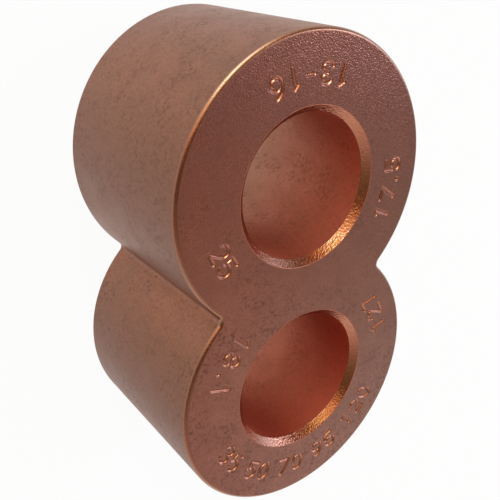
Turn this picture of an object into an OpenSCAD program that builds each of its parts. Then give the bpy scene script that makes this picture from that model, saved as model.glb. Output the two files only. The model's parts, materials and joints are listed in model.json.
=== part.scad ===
// Figure-eight grounding connector, one solid copper piece. Two equal round lobes stand side by side, and a
// chamfered bore runs through each: one slips over a ground rod and the other takes the grid cable. A press
// then squeezes both lobes shut. It stands on its rear end face, bores upright, with the rod lobe towards +Y.
// Millimetres.

/* [Body] */
// Outside diameter of each lobe
lobe_d = 35.5; // [30:0.1:45]
// Distance between the two bore axes
bore_pitch = 26.2; // [22:0.1:33]
// Length along the bores
body_length = 25.2; // [12:0.1:60]
// Rounding of the outer edge at both end faces
edge_r = 0.5; // [0.1:0.05:2]
// Fillet in the groove on each side of the waist
waist_r = 0.8; // [0.2:0.1:5]

/* [Bores] */
// Diameter of the bore for the ground rod
rod_bore_d = 17.5; // [8:0.1:24]
// Diameter of the bore for the cable
cable_bore_d = 18.1; // [8:0.1:24]
// Width of the 45 degree chamfer at each mouth of the bores
mouth_chamfer = 0.85; // [0.2:0.05:2.5]

/* [Hidden] */
$fn = 144;
copper = [0.54, 0.35, 0.28];
lobe_r = lobe_d / 2;
rod_y = bore_pitch / 2;
cable_y = -bore_pitch / 2;
// Each waist groove bites this share of its flare's radius into the lobes, so that the surfaces cross cleanly
bite_share = 1 / 400;
groove_bite = bite_share * (waist_r + edge_r);
// Distance from a bore axis to a groove's axis, and the groove axis's place
groove_reach = lobe_r + waist_r - groove_bite;
groove_x = sqrt(pow(groove_reach, 2) - pow(bore_pitch / 2, 2));
// How far a cutter runs past the face it cuts
overcut = 1;

// Half section of a lobe: a plain rectangle with its two outer corners rounded
module lobe_section() {
    square([lobe_r - edge_r, body_length]);
    translate([0, edge_r]) square([lobe_r, body_length - 2 * edge_r]);
    for (z = [edge_r, body_length - edge_r])
        translate([lobe_r - edge_r, z]) circle(edge_r);
}

// Half section of a groove cutter: a post that flares at both end faces, so that the edge rounding runs on
// round the waist
module groove_section() {
    flare_r = waist_r + edge_r;
    difference() {
        translate([0, -overcut]) square([flare_r, body_length + 2 * overcut]);
        translate([waist_r, edge_r]) square([flare_r, body_length - 2 * edge_r]);
        for (z = [edge_r, body_length - edge_r])
            translate([flare_r, z]) circle(edge_r);
    }
}

// Two round lobes, joined by a block at the waist with a filleted groove down each side
module blank() {
    difference() {
        union() {
            for (y = [rod_y, cable_y])
                translate([0, y, 0]) rotate_extrude() lobe_section();
            linear_extrude(body_length)
                polygon([[0, rod_y], [-groove_x, 0], [0, cable_y], [groove_x, 0]]);
        }
        for (x = [-groove_x, groove_x])
            translate([x, 0, 0]) rotate_extrude() groove_section();
    }
}

// Through bore with a chamfer at both mouths
module bore(bore_d) {
    mouth_r = bore_d / 2 + mouth_chamfer + overcut;
    depth = mouth_chamfer + overcut;
    translate([0, 0, -overcut]) cylinder(d = bore_d, h = body_length + 2 * overcut);
    translate([0, 0, -overcut]) cylinder(r1 = mouth_r, r2 = bore_d / 2, h = depth);
    translate([0, 0, body_length - mouth_chamfer]) cylinder(r1 = bore_d / 2, r2 = mouth_r, h = depth);
}

module connector_body() {
    color(copper) difference() {
        blank();
        translate([0, rod_y, 0]) bore(rod_bore_d);
        translate([0, cable_y, 0]) bore(cable_bore_d);
    }
}

connector_body();
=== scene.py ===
import json
import math

import bmesh
import bpy
import numpy as np
from mathutils import Matrix, Vector


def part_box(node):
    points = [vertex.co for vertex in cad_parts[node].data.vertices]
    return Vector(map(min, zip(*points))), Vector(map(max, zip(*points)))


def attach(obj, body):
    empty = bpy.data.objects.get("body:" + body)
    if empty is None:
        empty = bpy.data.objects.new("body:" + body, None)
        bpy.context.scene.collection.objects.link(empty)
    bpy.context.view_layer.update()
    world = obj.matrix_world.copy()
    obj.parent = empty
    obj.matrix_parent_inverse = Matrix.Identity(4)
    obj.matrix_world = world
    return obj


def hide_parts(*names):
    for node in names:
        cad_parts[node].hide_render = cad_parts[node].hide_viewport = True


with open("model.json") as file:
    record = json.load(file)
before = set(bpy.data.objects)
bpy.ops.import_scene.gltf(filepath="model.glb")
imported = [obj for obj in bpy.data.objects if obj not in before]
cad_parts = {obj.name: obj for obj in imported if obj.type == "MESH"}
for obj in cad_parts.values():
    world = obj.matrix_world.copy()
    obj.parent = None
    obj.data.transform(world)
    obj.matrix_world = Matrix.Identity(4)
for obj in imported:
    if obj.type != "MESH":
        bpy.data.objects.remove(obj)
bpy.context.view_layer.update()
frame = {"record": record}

# The looks of a figure-eight copper grounding connector: its body with rounded edges, chamfered bores
# and stamped size numbers, in dull scratched copper. Lengths are metres in the part's frame.

MM = 0.001

# Sizes from the frame
low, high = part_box("connector_body")
mounts = {mount["name"]: mount for mount in frame["record"]["mounts"]}
LENGTH = high.z - low.z
LOBE_R = (high.x - low.x) / 2
HALF_PITCH = (high.y - low.y) / 2 - LOBE_R
ROD_BORE_R = mounts["rod_bore"]["dims"]["r_mm"] * MM
CABLE_BORE_R = mounts["cable_bore"]["dims"]["r_mm"] * MM
MOUTH_CHAMFER = (LENGTH - mounts["rod_bore"]["dims"]["length_mm"] * MM) / 2

# Side of the middle that each lobe stands on, along Y
ROD_LOBE = 1
CABLE_LOBE = -1

# Roundings of the outer edges, the grooves at the waist and the corners of the chamfers, with their steps
EDGE_R = 0.5 * MM
WAIST_R = 0.8 * MM
MOUTH_LIP_R = 0.12 * MM
EDGE_STEPS = 8
LIP_STEPS = 4

# Columns of the mesh round each lobe, groove and bore
LOBE_COLUMNS = 220
WAIST_COLUMNS = 12
BORE_COLUMNS = 200

# Stamped numbers: a character's box, the share of the pitch that a space or a point takes, half a stroke's
# width at the face and at its floor, the wear and painted glint of its walls, and its depth
MARK_WIDTH = 2.6 * MM
MARK_HEIGHT = 2.3 * MM
SPACE_SHARE = 0.6
STROKE_HALF = 0.25 * MM
STROKE_FLOOR = 0.09 * MM
STROKE_WEAR_AND_GLINT = 0.7
MARK_DEPTH = 0.19 * MM

# Fineness and border of the stretch of mesh that holds a row of numbers
MARK_CELL = 0.06 * MM
MARK_MARGIN = 0.4 * MM

# Rows of numbers: lobe, text, pitch along the arc, distance from the bore's axis, and the angle of the
# row's middle in degrees
MARKS = [
    (ROD_LOBE, "13-16", 2.3 * MM, 13.0 * MM, 92),
    (ROD_LOBE, "17.5", 2.4 * MM, 13.3 * MM, 348),
    (ROD_LOBE, "25", 2.2 * MM, 13.2 * MM, 205),
    (CABLE_LOBE, "18.1", 2.4 * MM, 13.3 * MM, 149),
    (CABLE_LOBE, "127", 2.4 * MM, 13.6 * MM, 25),
    (CABLE_LOBE, "35 50 70 95 120", 2.3 * MM, 13.5 * MM, 268),
]

# The photograph's view: what the camera aims at, how far off it stands, and its turn and lift from the
# front face's normal
AIM = Vector((0.778 * MM, 0.4 * MM, 12.6 * MM))
VIEW_DISTANCE = 93.64 * MM
VIEW_TURN = math.radians(35.97)
VIEW_LIFT = math.radians(25.69)
LENS_MM = 50
SENSOR_MM = 36

# Material slots of the body
SIDE, FACE, ROD_BORE, CABLE_BORE = range(4)


# Number shapes

def arc(x, y, rx, ry, start, end, steps=20):
    """Points along an upright ellipse from one angle to another, in degrees."""
    turn = np.radians(np.linspace(start, end, steps + 1))
    return np.stack([x + rx * np.cos(turn), y + ry * np.sin(turn)], axis=1)


def line(*points):
    return np.array(points, float)


SIX = [arc(0, -0.2, 0.28, 0.3, 0, 360), arc(0.28, -0.2, 0.56, 0.7, 180, 105)]

# Strokes of each character, in a box one high that is centred on the origin
STROKES = {
    "0": [arc(0, 0, 0.28, 0.5, 0, 360)],
    "1": [line((-0.17, 0.3), (0.03, 0.5), (0.03, -0.5))],
    "2": [arc(0, 0.22, 0.28, 0.28, 170, -38), line((0.22, 0.05), (-0.28, -0.5), (0.3, -0.5))],
    "3": [arc(0, 0.25, 0.25, 0.25, 160, -90), arc(0, -0.25, 0.28, 0.25, 90, -160)],
    "5": [line((0.25, 0.5), (-0.21, 0.5), (-0.24, 0.02)), arc(-0.01, -0.19, 0.29, 0.31, 135, -150)],
    "6": SIX,
    "7": [line((-0.28, 0.5), (0.29, 0.5), (-0.08, -0.5))],
    "8": [arc(0, 0.25, 0.24, 0.25, 0, 360), arc(0, -0.25, 0.28, 0.25, 0, 360)],
    "9": [-stroke for stroke in SIX],
    "-": [line((-0.2, 0), (0.2, 0))],
    ".": [arc(0, -0.46, 0.03, 0.03, 0, 360)],
}


def distance_to_stroke(points, stroke):
    """Distance from each point to the nearest point of an open line of points."""
    nearest = np.full(len(points), np.inf)
    for a, b in zip(stroke[:-1], stroke[1:]):
        along = b - a
        share = np.clip((points - a) @ along / (along @ along), 0, 1)
        gap = points - a - share[:, None] * along
        nearest = np.minimum(nearest, np.hypot(gap[:, 0], gap[:, 1]))
    return nearest


def character_offsets(text, pitch):
    """Each character with its place along the row, from the row's middle, and the row's whole length."""
    place = 0
    offsets = []
    for character in text:
        step = pitch * (SPACE_SHARE if character in " ." else 1)
        offsets.append((character, place + step / 2))
        place += step
    return [(character, offset - place / 2) for character, offset in offsets], place


# Mesh

class Skin:
    """Points with their normals and wear, and the faces between them, each with its material."""

    def __init__(self):
        self.points = []
        self.normals = []
        self.wear = []
        self.faces = []
        self.regions = []

    def add_points(self, points, normals, wear):
        """Adds an array of points, and returns their numbers in an array of the same shape."""
        first = len(self.points)
        self.points.extend(points.reshape(-1, 3))
        self.normals.extend(normals.reshape(-1, 3))
        self.wear.extend(wear.reshape(-1))
        return np.arange(first, len(self.points)).reshape(points.shape[:-1])

    def add_quads(self, grid, region, closed):
        """Faces between the rows of a grid of point numbers, round to the first column if closed."""
        rows, columns = grid.shape
        for row in range(rows - 1):
            for column in range(columns if closed else columns - 1):
                after = (column + 1) % columns
                self.faces.append(
                    (grid[row, column], grid[row, after], grid[row + 1, after], grid[row + 1, column]))
                self.regions.append(region)

    def add_rings(self, rings, region):
        """A wall of closed rings, each given by its flat points, height, flat part of the normals, upward
        part of the normals, and wear. Returns the grid of its point numbers."""
        points = []
        normals = []
        wear = []
        for flat_points, height, flat_normals, upward, ring_wear in rings:
            columns = len(flat_points)
            points.append(np.column_stack([flat_points, np.full(columns, height)]))
            normals.append(np.column_stack([flat_normals, np.full(columns, upward)]))
            wear.append(np.full(columns, ring_wear))
        grid = self.add_points(np.array(points), np.array(normals), np.array(wear))
        self.add_quads(grid, region, closed=True)
        return grid

    def fill(self, loops, region):
        """Triangles over a flat stretch between closed loops of point numbers."""
        flat = bmesh.new()
        number = {}
        edges = []
        for loop in loops:
            corners = [flat.verts.new(self.points[index]) for index in loop]
            number.update(zip(corners, loop))
            edges.extend(flat.edges.new((a, b)) for a, b in zip(corners, corners[1:] + corners[:1]))
        made = bmesh.ops.triangle_fill(flat, use_beauty=True, use_dissolve=False, edges=edges)
        for piece in made["geom"]:
            if isinstance(piece, bmesh.types.BMFace):
                self.faces.append(tuple(number[corner] for corner in piece.verts))
                self.regions.append(region)
        flat.free()

    def turn_faces_outwards(self):
        points = np.array(self.points)
        normals = np.array(self.normals)
        for index, face in enumerate(self.faces):
            corners = list(face)
            first, second, third = points[corners[:3]]
            across = np.cross(second - first, third - first)
            if across @ normals[corners].sum(axis=0) < 0:
                self.faces[index] = tuple(reversed(face))

    def make_object(self, name, materials):
        self.turn_faces_outwards()
        mesh = bpy.data.meshes.new(name)
        mesh.from_pydata([tuple(p) for p in self.points], [], [tuple(map(int, f)) for f in self.faces])
        for material in materials:
            mesh.materials.append(material)
        mesh.polygons.foreach_set("material_index", self.regions)
        mesh.shade_smooth()
        wear = mesh.attributes.new("wear", "FLOAT", "POINT")
        wear.data.foreach_set("value", np.array(self.wear, np.float32))
        mesh.normals_split_custom_set_from_vertices([tuple(n) for n in self.normals])
        mesh.update()
        made = bpy.data.objects.new(name, mesh)
        bpy.context.scene.collection.objects.link(made)
        return made


def outline():
    """Points and outward normals round the figure eight, from the right side's waist."""
    waist_x = math.sqrt((LOBE_R + WAIST_R) ** 2 - HALF_PITCH ** 2)
    lean = math.atan2(HALF_PITCH, waist_x)
    stretches = [
        ((0, HALF_PITCH), LOBE_R, -lean, math.pi + lean, LOBE_COLUMNS),
        ((-waist_x, 0), WAIST_R, lean, -lean, WAIST_COLUMNS),
        ((0, -HALF_PITCH), LOBE_R, math.pi - lean, 2 * math.pi + lean, LOBE_COLUMNS),
        ((waist_x, 0), WAIST_R, math.pi + lean, math.pi - lean, WAIST_COLUMNS),
    ]
    points = []
    normals = []
    for centre, radius, start, end, columns in stretches:
        turn = np.linspace(start, end, columns, endpoint=False)
        spokes = np.stack([np.cos(turn), np.sin(turn)], axis=1)
        points.append(np.array(centre) + radius * spokes)
        normals.append(spokes if end > start else -spokes)
    return np.concatenate(points), np.concatenate(normals)


def add_outer_wall(skin):
    """The wall round the figure eight with its rounded edges, which are most worn at their middle.
    Returns its loops at the rear and front faces."""
    points, normals = outline()
    tilts = np.linspace(-math.pi / 2, 0, EDGE_STEPS + 1)
    rows = [(EDGE_R * (1 + math.sin(tilt)), tilt) for tilt in tilts]
    rows += [(LENGTH - height, -tilt) for height, tilt in reversed(rows)]
    rings = []
    for height, tilt in rows:
        ring = points - EDGE_R * (1 - math.cos(tilt)) * normals
        wear = math.sin(2 * abs(tilt))
        rings.append((ring, height, math.cos(tilt) * normals, math.sin(tilt), wear))
    grid = skin.add_rings(rings, SIDE)
    return grid[0], grid[-1]


def bore_profile(bore_r):
    """Radius, height, normal's radial and upward parts, and wear down a bore, from the front face to the
    rear. The corners of its chamfers are softened."""
    corner_turn = math.pi / 4
    reach = MOUTH_LIP_R * math.tan(corner_turn / 2)
    rows = []
    for share in np.linspace(0, 1, LIP_STEPS + 1):
        t = share * corner_turn
        r = bore_r + MOUTH_CHAMFER + reach - MOUTH_LIP_R * math.sin(t)
        z = LENGTH - MOUTH_LIP_R * (1 - math.cos(t))
        rows.append((r, z, -math.sin(t), math.cos(t), share))
    for share in np.linspace(0, 1, LIP_STEPS + 1):
        t = corner_turn * (1 + share)
        r = bore_r + MOUTH_LIP_R * (1 - math.sin(t))
        z = LENGTH - MOUTH_CHAMFER - reach + MOUTH_LIP_R * math.cos(t)
        rows.append((r, z, -math.sin(t), math.cos(t), 1 - share))
    return rows + [(r, LENGTH - z, radial, -upward, wear) for r, z, radial, upward, wear in reversed(rows)]


def add_bore(skin, lobe, bore_r, region):
    """A bore with a chamfer at both mouths. Returns its loops at the rear and front faces."""
    turn = np.linspace(0, 2 * math.pi, BORE_COLUMNS, endpoint=False)
    spokes = np.stack([np.cos(turn), np.sin(turn)], axis=1)
    centre = np.array([0, lobe * HALF_PITCH])
    rings = []
    for r, z, radial, upward, wear in bore_profile(bore_r):
        rings.append((centre + r * spokes, z, radial * spokes, upward, wear))
    grid = skin.add_rings(rings, region)
    return grid[-1], grid[0]


def stamp_depth(points, text, pitch, radius, middle):
    """Depth of a row of stamped characters at flat points that are given from the bore's axis."""
    offsets, _ = character_offsets(text, pitch)
    depth = np.zeros(len(points))
    for character, offset in offsets:
        turn = middle + offset / radius
        up = -np.array([math.cos(turn), math.sin(turn)])
        right = np.array([up[1], -up[0]])
        from_middle = points + radius * up
        local = np.stack([from_middle @ right, from_middle @ up], axis=1)
        near = np.flatnonzero(np.abs(local[:, 0]) < MARK_WIDTH)
        for stroke in STROKES.get(character, []):
            gap = distance_to_stroke(local[near], stroke * (MARK_WIDTH, MARK_HEIGHT))
            wall = np.clip((STROKE_HALF - gap) / (STROKE_HALF - STROKE_FLOOR), 0, 1)
            depth[near] = np.maximum(depth[near], MARK_DEPTH * wall)
    return depth


def add_mark(skin, lobe, text, pitch, radius, middle_degrees):
    """A stretch of the front face, along an arc, with stamped characters. Returns its border loop."""
    middle = math.radians(middle_degrees)
    _, row_length = character_offsets(text, pitch)
    half_turn = (row_length / 2 + MARK_MARGIN) / radius
    half_height = MARK_HEIGHT / 2 + MARK_MARGIN
    columns = round(2 * half_turn * radius / MARK_CELL) + 1
    rows = round(2 * half_height / MARK_CELL) + 1
    turns = np.linspace(middle - half_turn, middle + half_turn, columns)
    radii = np.linspace(radius - half_height, radius + half_height, rows)
    turn_grid, radius_grid = np.meshgrid(turns, radii)
    spokes = np.stack([np.cos(turn_grid), np.sin(turn_grid)], axis=2)
    flat = (radius_grid[:, :, None] * spokes).reshape(-1, 2)
    depth = stamp_depth(flat, text, pitch, radius, middle).reshape(rows, columns)

    # Normals from the slope of the depth along the spokes and across them
    down_radius, down_turn = np.gradient(-depth, radii, turns)
    down_turn /= radius_grid
    across = np.stack([-spokes[:, :, 1], spokes[:, :, 0]], axis=2)
    slope = down_radius[:, :, None] * spokes + down_turn[:, :, None] * across
    normals = np.dstack([-slope, np.ones((rows, columns))])
    normals /= np.linalg.norm(normals, axis=2, keepdims=True)

    # Walls are most worn halfway down, where a brighter copper is partly wear and partly painted glint
    share = depth / MARK_DEPTH
    wear = STROKE_WEAR_AND_GLINT * 4 * share * (1 - share)

    flat = flat.reshape(rows, columns, 2) + np.array([0, lobe * HALF_PITCH])
    grid = skin.add_points(np.dstack([flat, LENGTH - depth]), normals, wear)
    skin.add_quads(grid, FACE, closed=False)
    return np.concatenate([grid[0, :-1], grid[:-1, -1], grid[-1, :0:-1], grid[:0:-1, 0]])


def connector_body(materials):
    """The whole body as one closed mesh."""
    skin = Skin()
    walls = [
        add_outer_wall(skin),
        add_bore(skin, ROD_LOBE, ROD_BORE_R, ROD_BORE),
        add_bore(skin, CABLE_LOBE, CABLE_BORE_R, CABLE_BORE),
    ]
    rear_loops = [list(rear_painted_light) for rear_painted_light, _ in walls]
    front_loops = [list(front) for _, front in walls]
    for mark in MARKS:
        front_loops.append(list(add_mark(skin, *mark)))
    skin.fill(rear_loops, FACE)
    skin.fill(front_loops, FACE)
    return skin.make_object("copper_body", materials)


# Materials

# Patina: the sizes of its patches and finer clouds, their shares in the mix, and the levels of noise that
# the mix and the clouds range between
PATCH_SIZE = 13 * MM
CLOUD_SIZE = 3.5 * MM
PATCH_SHARE = 0.4
CLOUD_SHARE = 0.6
PATINA_LEVELS = (0.38, 0.62)
CLOUD_LEVELS = (0.3, 0.7)

# Turns of the axes that flecks and scratches are drawn out along, and the shift between them
STREAK_TURNS = [(0.3, 0.9, 0.2), (1.2, -0.5, 1.9), (-0.7, 0.4, 2.8), (0.5, -1.1, 0.9)]
STREAK_SHIFT = 31 * MM

# Dark flecks and the clusters that they gather in
FLECK_LENGTH = 1.3 * MM
FLECK_WIDTH = 0.5 * MM
FLECK_LEVELS = (0.58, 0.8)
FLECK_ROUGHNESS = 0.08
CLUSTER_SIZE = 4 * MM
CLUSTER_LEVELS = (0.34, 0.6)

# Long scratches
SCRATCH_LENGTH = 9 * MM
SCRATCH_WIDTH = 0.14 * MM
SCRATCH_LEVELS = (0.7, 0.76)
SCRATCH_SHARE = 0.45
SCRATCH_DEPTH = 0.004 * MM

# Fine dark grain, and the pebbles of the rough surface
GRAIN_SIZE = 0.3 * MM
GRAIN_LEVELS = (0.4, 0.75)
GRAIN_SHARE = 0.3
PEBBLE_SIZE = 0.17 * MM
BORE_PEBBLE_SIZE = 0.24 * MM

# Wear from which an edge starts to show bare metal and at which it is all bare
WEAR_LEVELS = (0.05, 0.7)

# How far the roughness strays with the clouds
ROUGHNESS_SPREAD = 0.04

# Along this axis over the face, towards the rod lobe's end, flecks thin out to a share, and then pebbles
# grow and the added roughness of the calm stretch goes
FACE_AXIS = (0.6, 0.8, 0)
FLECK_FADE = (-8 * MM, 4 * MM)
ROD_FLECKS = 0.45
PEBBLE_FADE = (12 * MM, 24 * MM)
CALM_ROUGHNESS = 0.08

# Distance from the middle plane at which the painted shade of the lobes' flanks starts, and how far that
# strays
FLANK_START = 14.3 * MM
FLANK_BLUR = 0.8 * MM


class Nodes:
    """Short ways to add and join the nodes of one material or world."""

    def __init__(self, tree):
        self.tree = tree
        self.tree.nodes.clear()

    def add(self, kind, inputs=None, **settings):
        node = self.tree.nodes.new(kind)
        for key, value in settings.items():
            setattr(node, key, value)
        for key, value in (inputs or {}).items():
            if isinstance(value, bpy.types.NodeSocket):
                self.tree.links.new(value, node.inputs[key])
            else:
                node.inputs[key].default_value = value
        return node

    def math(self, operation, a, b):
        return self.add("ShaderNodeMath", {0: a, 1: b}, operation=operation).outputs[0]

    def dot(self, a, b):
        return self.add("ShaderNodeVectorMath", {0: a, 1: b}, operation="DOT_PRODUCT").outputs["Value"]

    def rescale(self, value, low_in, high_in, low_out=0.0, high_out=1.0):
        inputs = {"Value": value, "From Min": low_in, "From Max": high_in}
        inputs.update({"To Min": low_out, "To Max": high_out})
        return self.add("ShaderNodeMapRange", inputs, clamp=True).outputs["Result"]

    def blend(self, share, a, b):
        """A mix of two colours, from the first at no share to the second at a full one."""
        return self.add("ShaderNodeMix", {0: share, 6: a, 7: b}, data_type="RGBA").outputs[2]

    def noise(self, place, size, detail=2.0, roughness=0.5):
        inputs = {"Vector": place, "Scale": 1 / size, "Detail": detail, "Roughness": roughness}
        return self.add("ShaderNodeTexNoise", inputs).outputs["Fac"]

    def finish(self, shader, output="ShaderNodeOutputMaterial"):
        self.tree.links.new(shader.outputs[0], self.add(output).inputs["Surface"])


class CopperNodes(Nodes):
    """The nodes of one copper finish, with the place on the part and the wear that its mesh carries."""

    def __init__(self, name):
        self.material = bpy.data.materials.new(name)
        self.material.use_nodes = True
        super().__init__(self.material.node_tree)
        self.place = self.add("ShaderNodeTexCoord").outputs["Object"]
        self.axes = self.add("ShaderNodeSeparateXYZ", {0: self.place}).outputs
        self.wear = self.add("ShaderNodeAttribute", attribute_name="wear").outputs["Fac"]

    def streaks(self, length, width, levels):
        """Marks in several directions: noise that is drawn out along turned axes and cut between levels."""
        marks = None
        for number, turn in enumerate(STREAK_TURNS):
            inputs = {"Vector": self.place, "Location": (number * STREAK_SHIFT, 0, 0)}
            inputs.update({"Rotation": turn, "Scale": (length, width, width)})
            drawn_out = self.add("ShaderNodeMapping", inputs, vector_type="TEXTURE").outputs[0]
            one_way = self.rescale(self.noise(drawn_out, 1.0, detail=1.0), *levels)
            marks = one_way if marks is None else self.math("MAXIMUM", marks, one_way)
        return marks

    def finish_copper(self, colour, roughness, relief):
        bump = self.add("ShaderNodeBump", {"Height": relief, "Strength": 1.0, "Distance": 1.0})
        inputs = {"Base Color": colour, "Metallic": 1.0, "Roughness": roughness, "Normal": bump.outputs[0]}
        self.finish(self.add("ShaderNodeBsdfPrincipled", inputs))
        return self.material


def copper(name, clean, dull, dark, worn, rough, rough_worn, fleck_share, pebble, pebble_worn,
           pebble_size=PEBBLE_SIZE, calm_share=None, grain_share=GRAIN_SHARE, rear_painted_light=None, front_flecks=1.0,
           flank_painted_shade=None, flank_worn_painted_shade=None):
    """Copper with a cloudy patina, clusters of dark flecks, long scratches, fine pebbles and worn edges.

    Pebbles are heights, plain and where worn. Where a calm share is given, the flecks thin out along the
    face's axis, and only that share of the pebbles is left away from the axis's end. Where a rear colour is
    given, the colour fades to it towards the rear end as painted light, and only a share of the flecks is
    left at the front. Where flank colours are given, the copper and the worn metal darken to them at the
    lobes' flanks as painted shade."""
    nodes = CopperNodes(name)
    patches = nodes.noise(nodes.place, PATCH_SIZE, detail=1.0)
    clouds = nodes.noise(nodes.place, CLOUD_SIZE, detail=4.0, roughness=0.6)
    clusters = nodes.rescale(nodes.noise(nodes.place, CLUSTER_SIZE), *CLUSTER_LEVELS)
    grain = nodes.noise(nodes.place, GRAIN_SIZE)
    flecks = nodes.math("MULTIPLY", nodes.streaks(FLECK_LENGTH, FLECK_WIDTH, FLECK_LEVELS), clusters)
    scratches = nodes.streaks(SCRATCH_LENGTH, SCRATCH_WIDTH, SCRATCH_LEVELS)
    worn_share = nodes.rescale(nodes.wear, *WEAR_LEVELS)

    patina = nodes.math("MULTIPLY", patches, PATCH_SHARE)
    patina = nodes.math("ADD", patina, nodes.math("MULTIPLY", clouds, CLOUD_SHARE))
    colour = nodes.blend(nodes.rescale(patina, *PATINA_LEVELS), dull, clean)
    if calm_share:
        to_end = nodes.dot(nodes.place, FACE_AXIS)
        flecks = nodes.math("MULTIPLY", flecks, nodes.rescale(to_end, *FLECK_FADE, 1, ROD_FLECKS))
    # Painted light: towards the rear end the colour fades to a paler, greyer tone that stands in for how
    # the deep end is lit
    if rear_painted_light:
        height = nodes.axes["Z"]
        colour = nodes.blend(nodes.rescale(height, 0, LENGTH), rear_painted_light, colour)
        flecks = nodes.math("MULTIPLY", flecks, nodes.rescale(height, 0, LENGTH, 1, front_flecks))
    # Painted shade: the lobes' flanks and their worn edges darken towards the outer sides
    if flank_painted_shade:
        stray = nodes.rescale(clouds, *CLOUD_LEVELS, -FLANK_BLUR, FLANK_BLUR)
        reach = nodes.math("ADD", nodes.math("ABSOLUTE", nodes.axes["X"], 0.0), stray)
        flank_shade_share = nodes.rescale(reach, FLANK_START, LOBE_R)
        colour = nodes.blend(flank_shade_share, colour, flank_painted_shade)
        worn = nodes.blend(flank_shade_share, worn, flank_worn_painted_shade)
    colour = nodes.blend(nodes.rescale(grain, *GRAIN_LEVELS, 0.0, grain_share), colour, dark)
    colour = nodes.blend(nodes.math("MULTIPLY", flecks, fleck_share), colour, dark)
    colour = nodes.blend(nodes.math("MULTIPLY", scratches, SCRATCH_SHARE), colour, dark)
    colour = nodes.blend(worn_share, colour, worn)

    roughness = nodes.rescale(clouds, *CLOUD_LEVELS, rough + ROUGHNESS_SPREAD, rough - ROUGHNESS_SPREAD)
    roughness = nodes.math("ADD", roughness, nodes.math("MULTIPLY", flecks, FLECK_ROUGHNESS))
    polish = nodes.math("MULTIPLY", worn_share, rough - rough_worn)
    roughness = nodes.math("SUBTRACT", roughness, polish)

    pebbles = nodes.noise(nodes.place, pebble_size, detail=1.0)
    pebbles = nodes.math("MULTIPLY", pebbles, nodes.rescale(worn_share, 0, 1, pebble, pebble_worn))
    if calm_share:
        lively = nodes.rescale(to_end, *PEBBLE_FADE)
        pebbles = nodes.math("MULTIPLY", pebbles, nodes.rescale(lively, 0, 1, calm_share, 1))
        roughness = nodes.math("ADD", roughness, nodes.rescale(lively, 0, 1, CALM_ROUGHNESS, 0))
    relief = nodes.math("SUBTRACT", pebbles, nodes.math("MULTIPLY", scratches, SCRATCH_DEPTH))
    return nodes.finish_copper(colour, roughness, relief)


# The flank colours are painted shade: darker copper, and darker, redder worn edges, on the lobes' flanks
def side_copper():
    return copper("copper_side", clean=(0.372, 0.156, 0.09, 1), dull=(0.31, 0.145, 0.094, 1),
                  dark=(0.16, 0.067, 0.042, 1), worn=(0.355, 0.185, 0.116, 1),
                  rough=0.43, rough_worn=0.27, fleck_share=0.68, grain_share=0.42,
                  pebble=0.006 * MM, pebble_worn=0.012 * MM,
                  flank_painted_shade=(0.25, 0.114, 0.071, 1), flank_worn_painted_shade=(0.315, 0.135, 0.083, 1))


# The face's worn colour, which only the stamped walls take, is a bright copper that is partly wear and
# partly painted glint
def face_copper():
    return copper("copper_face", clean=(0.352, 0.148, 0.101, 1), dull=(0.304, 0.128, 0.09, 1),
                  dark=(0.15, 0.058, 0.04, 1), worn=(0.6, 0.26, 0.15, 1),
                  rough=0.22, rough_worn=0.22, fleck_share=1.0,
                  pebble=0.049 * MM, pebble_worn=0.02 * MM, calm_share=0.4)


# The rod bore's copper is brighter and redder than the body's: painted light that makes up for the shade
# inside the bore
def rod_bore_copper():
    return copper("copper_rod_bore", clean=(0.76, 0.214, 0.116, 1), dull=(0.7, 0.194, 0.104, 1),
                  dark=(0.3, 0.12, 0.08, 1), worn=(0.42, 0.18, 0.106, 1),
                  rough=0.54, rough_worn=0.21, fleck_share=0.75,
                  pebble=0.016 * MM, pebble_worn=0.05 * MM, pebble_size=BORE_PEBBLE_SIZE,
                  rear_painted_light=(0.4, 0.226, 0.15, 1), front_flecks=0.7)


# The cable bore's copper is brighter and redder than the body's: painted light that makes up for the shade
# inside the bore
def cable_bore_copper():
    return copper("copper_cable_bore", clean=(0.68, 0.149, 0.076, 1), dull=(0.62, 0.133, 0.067, 1),
                  dark=(0.3, 0.1, 0.065, 1), worn=(0.42, 0.18, 0.106, 1),
                  rough=0.54, rough_worn=0.21, fleck_share=1.0,
                  pebble=0.016 * MM, pebble_worn=0.05 * MM, pebble_size=BORE_PEBBLE_SIZE,
                  rear_painted_light=(0.48, 0.22, 0.143, 1), front_flecks=0.3)


# Studio

FLOOR_SIZE = 6.0
FLOOR_GLOW_SHARE = 0.95
PAPER_COLOUR = (0.9, 0.9, 0.9, 1)
GLOW_COLOUR = (1, 1, 1, 1)


def floor_material():
    """White paper: a glow that the camera and reflections see, over a diffuse white that takes shadows."""
    material = bpy.data.materials.new("floor_paper")
    material.use_nodes = True
    nodes = Nodes(material.node_tree)
    rays = nodes.add("ShaderNodeLightPath").outputs
    seen = nodes.math("MAXIMUM", rays["Is Camera Ray"], rays["Is Glossy Ray"])
    seen = nodes.math("MAXIMUM", seen, rays["Is Transmission Ray"])
    share = nodes.math("MULTIPLY", seen, FLOOR_GLOW_SHARE)
    paper = nodes.add("ShaderNodeBsdfDiffuse", {"Color": PAPER_COLOUR}).outputs[0]
    glow = nodes.add("ShaderNodeEmission", {"Color": GLOW_COLOUR, "Strength": 1.0}).outputs[0]
    nodes.finish(nodes.add("ShaderNodeMixShader", {0: share, 1: paper, 2: glow}))
    return material


def add_floor():
    half = FLOOR_SIZE / 2
    corners = [(-half, -half, low.z), (half, -half, low.z), (half, half, low.z), (-half, half, low.z)]
    mesh = bpy.data.meshes.new("floor")
    mesh.from_pydata(corners, [], [(0, 1, 2, 3)])
    mesh.materials.append(floor_material())
    floor = bpy.data.objects.new("floor", mesh)
    bpy.context.scene.collection.objects.link(floor)


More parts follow.
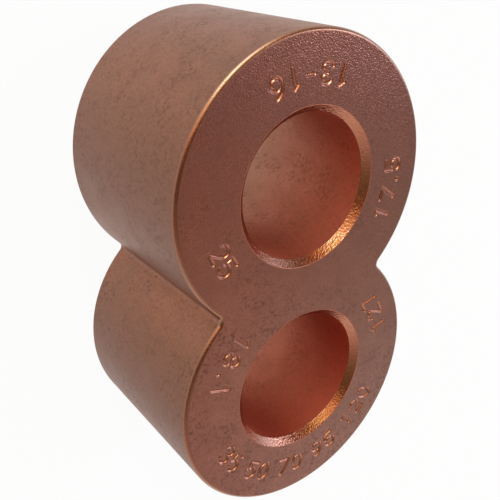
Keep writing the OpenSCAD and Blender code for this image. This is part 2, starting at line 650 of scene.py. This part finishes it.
# Studio light, as the brightness of the world by direction: an even part, a pale band along the horizon,
# which is full up to one height in degrees and fades out at another, and round soft lights. Each soft light
# has its bearing from +X towards +Y, its height above the horizon and its radius, all in degrees, and its
# colour at the middle.
EVEN_LIGHT = (0.19, 0.08, 0.04)
BAND_LIGHT = (0.48, 0.56, 0.6)
BAND_HEIGHTS = (6, 28)
SOFT_LIGHTS = [
    (100, 14, 28, (4.1, 5.3, 5.7)),
    (108, 30, 12, (2.6, 6.2, 7.0)),
    (115, 51, 24, (1.6, 1.05, 0.52)),
    (138, 22, 24, (1.85, 1.1, 0.7)),
    (94, 42, 13, (1.5, 1.95, 0.55)),
    (76, 30, 20, (0.9, 0.35, 0.05)),
    (14, 37, 14, (4.8, 5.5, 7.5)),
    (8, 18, 18, (1.1, 1.6, 2.6)),
    (28, 52, 16, (1.6, 1.4, 1.4)),
    (359, 45, 21, (0.6, 0.75, 0.95)),
    (320, 50, 22, (0.19, 0.13, 0.09)),
    (198, 46, 24, (0.1, 0.17, 0.12)),
    (270, 12, 70, (0.66, 0.62, 0.64)),
    (318, 24, 28, (0.22, 0.5, 0.58)),
]


def add_world():
    world = bpy.data.worlds.new("studio")
    world.use_nodes = True
    bpy.context.scene.world = world
    nodes = Nodes(world.node_tree)
    direction = nodes.add("ShaderNodeTexCoord").outputs["Generated"]

    def add_light(total, axis, edge, middle, colour):
        """The total with a light round an axis, which is none where the direction's part along the axis is
        edge, and full where it is middle."""
        inputs = {"Value": nodes.dot(direction, axis), "From Min": edge, "From Max": middle}
        share = nodes.add("ShaderNodeMapRange", inputs, interpolation_type="SMOOTHSTEP").outputs["Result"]
        inputs = {0: share, 1: colour, 2: total}
        return nodes.add("ShaderNodeVectorMath", inputs, operation="MULTIPLY_ADD").outputs[0]

    band_full, band_end = (math.sin(math.radians(height)) for height in BAND_HEIGHTS)
    total = add_light(EVEN_LIGHT, (0, 0, 1), band_end, band_full, BAND_LIGHT)
    for bearing, height, radius, colour in SOFT_LIGHTS:
        turn = math.radians(bearing)
        lift = math.radians(height)
        axis = (math.cos(turn) * math.cos(lift), math.sin(turn) * math.cos(lift), math.sin(lift))
        total = add_light(total, axis, math.cos(math.radians(radius)), 1.0, colour)
    background = nodes.add("ShaderNodeBackground", {"Color": total, "Strength": 1.0})
    nodes.finish(background, "ShaderNodeOutputWorld")


def add_camera():
    """The photograph's view, with the rod lobe upright in the picture."""
    back = Vector((-math.sin(VIEW_TURN) * math.cos(VIEW_LIFT), math.sin(VIEW_LIFT),
                   math.cos(VIEW_TURN) * math.cos(VIEW_LIFT)))
    right = Vector((0, 1, 0)).cross(back).normalized()
    up = back.cross(right)
    camera = bpy.data.cameras.new("photo_camera")
    camera.lens = LENS_MM
    camera.sensor_width = SENSOR_MM
    camera.clip_start = MM
    placed = bpy.data.objects.new("photo_camera", camera)
    turn = Matrix((right, up, back)).transposed().to_4x4()
    placed.matrix_world = Matrix.Translation(AIM + VIEW_DISTANCE * back) @ turn
    bpy.context.scene.collection.objects.link(placed)
    bpy.context.scene.camera = placed


body = connector_body([side_copper(), face_copper(), rod_bore_copper(), cable_bore_copper()])
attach(body, "root")
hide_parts("connector_body")

add_floor()
add_world()
add_camera()
bpy.context.scene.view_settings.view_transform = "Standard"
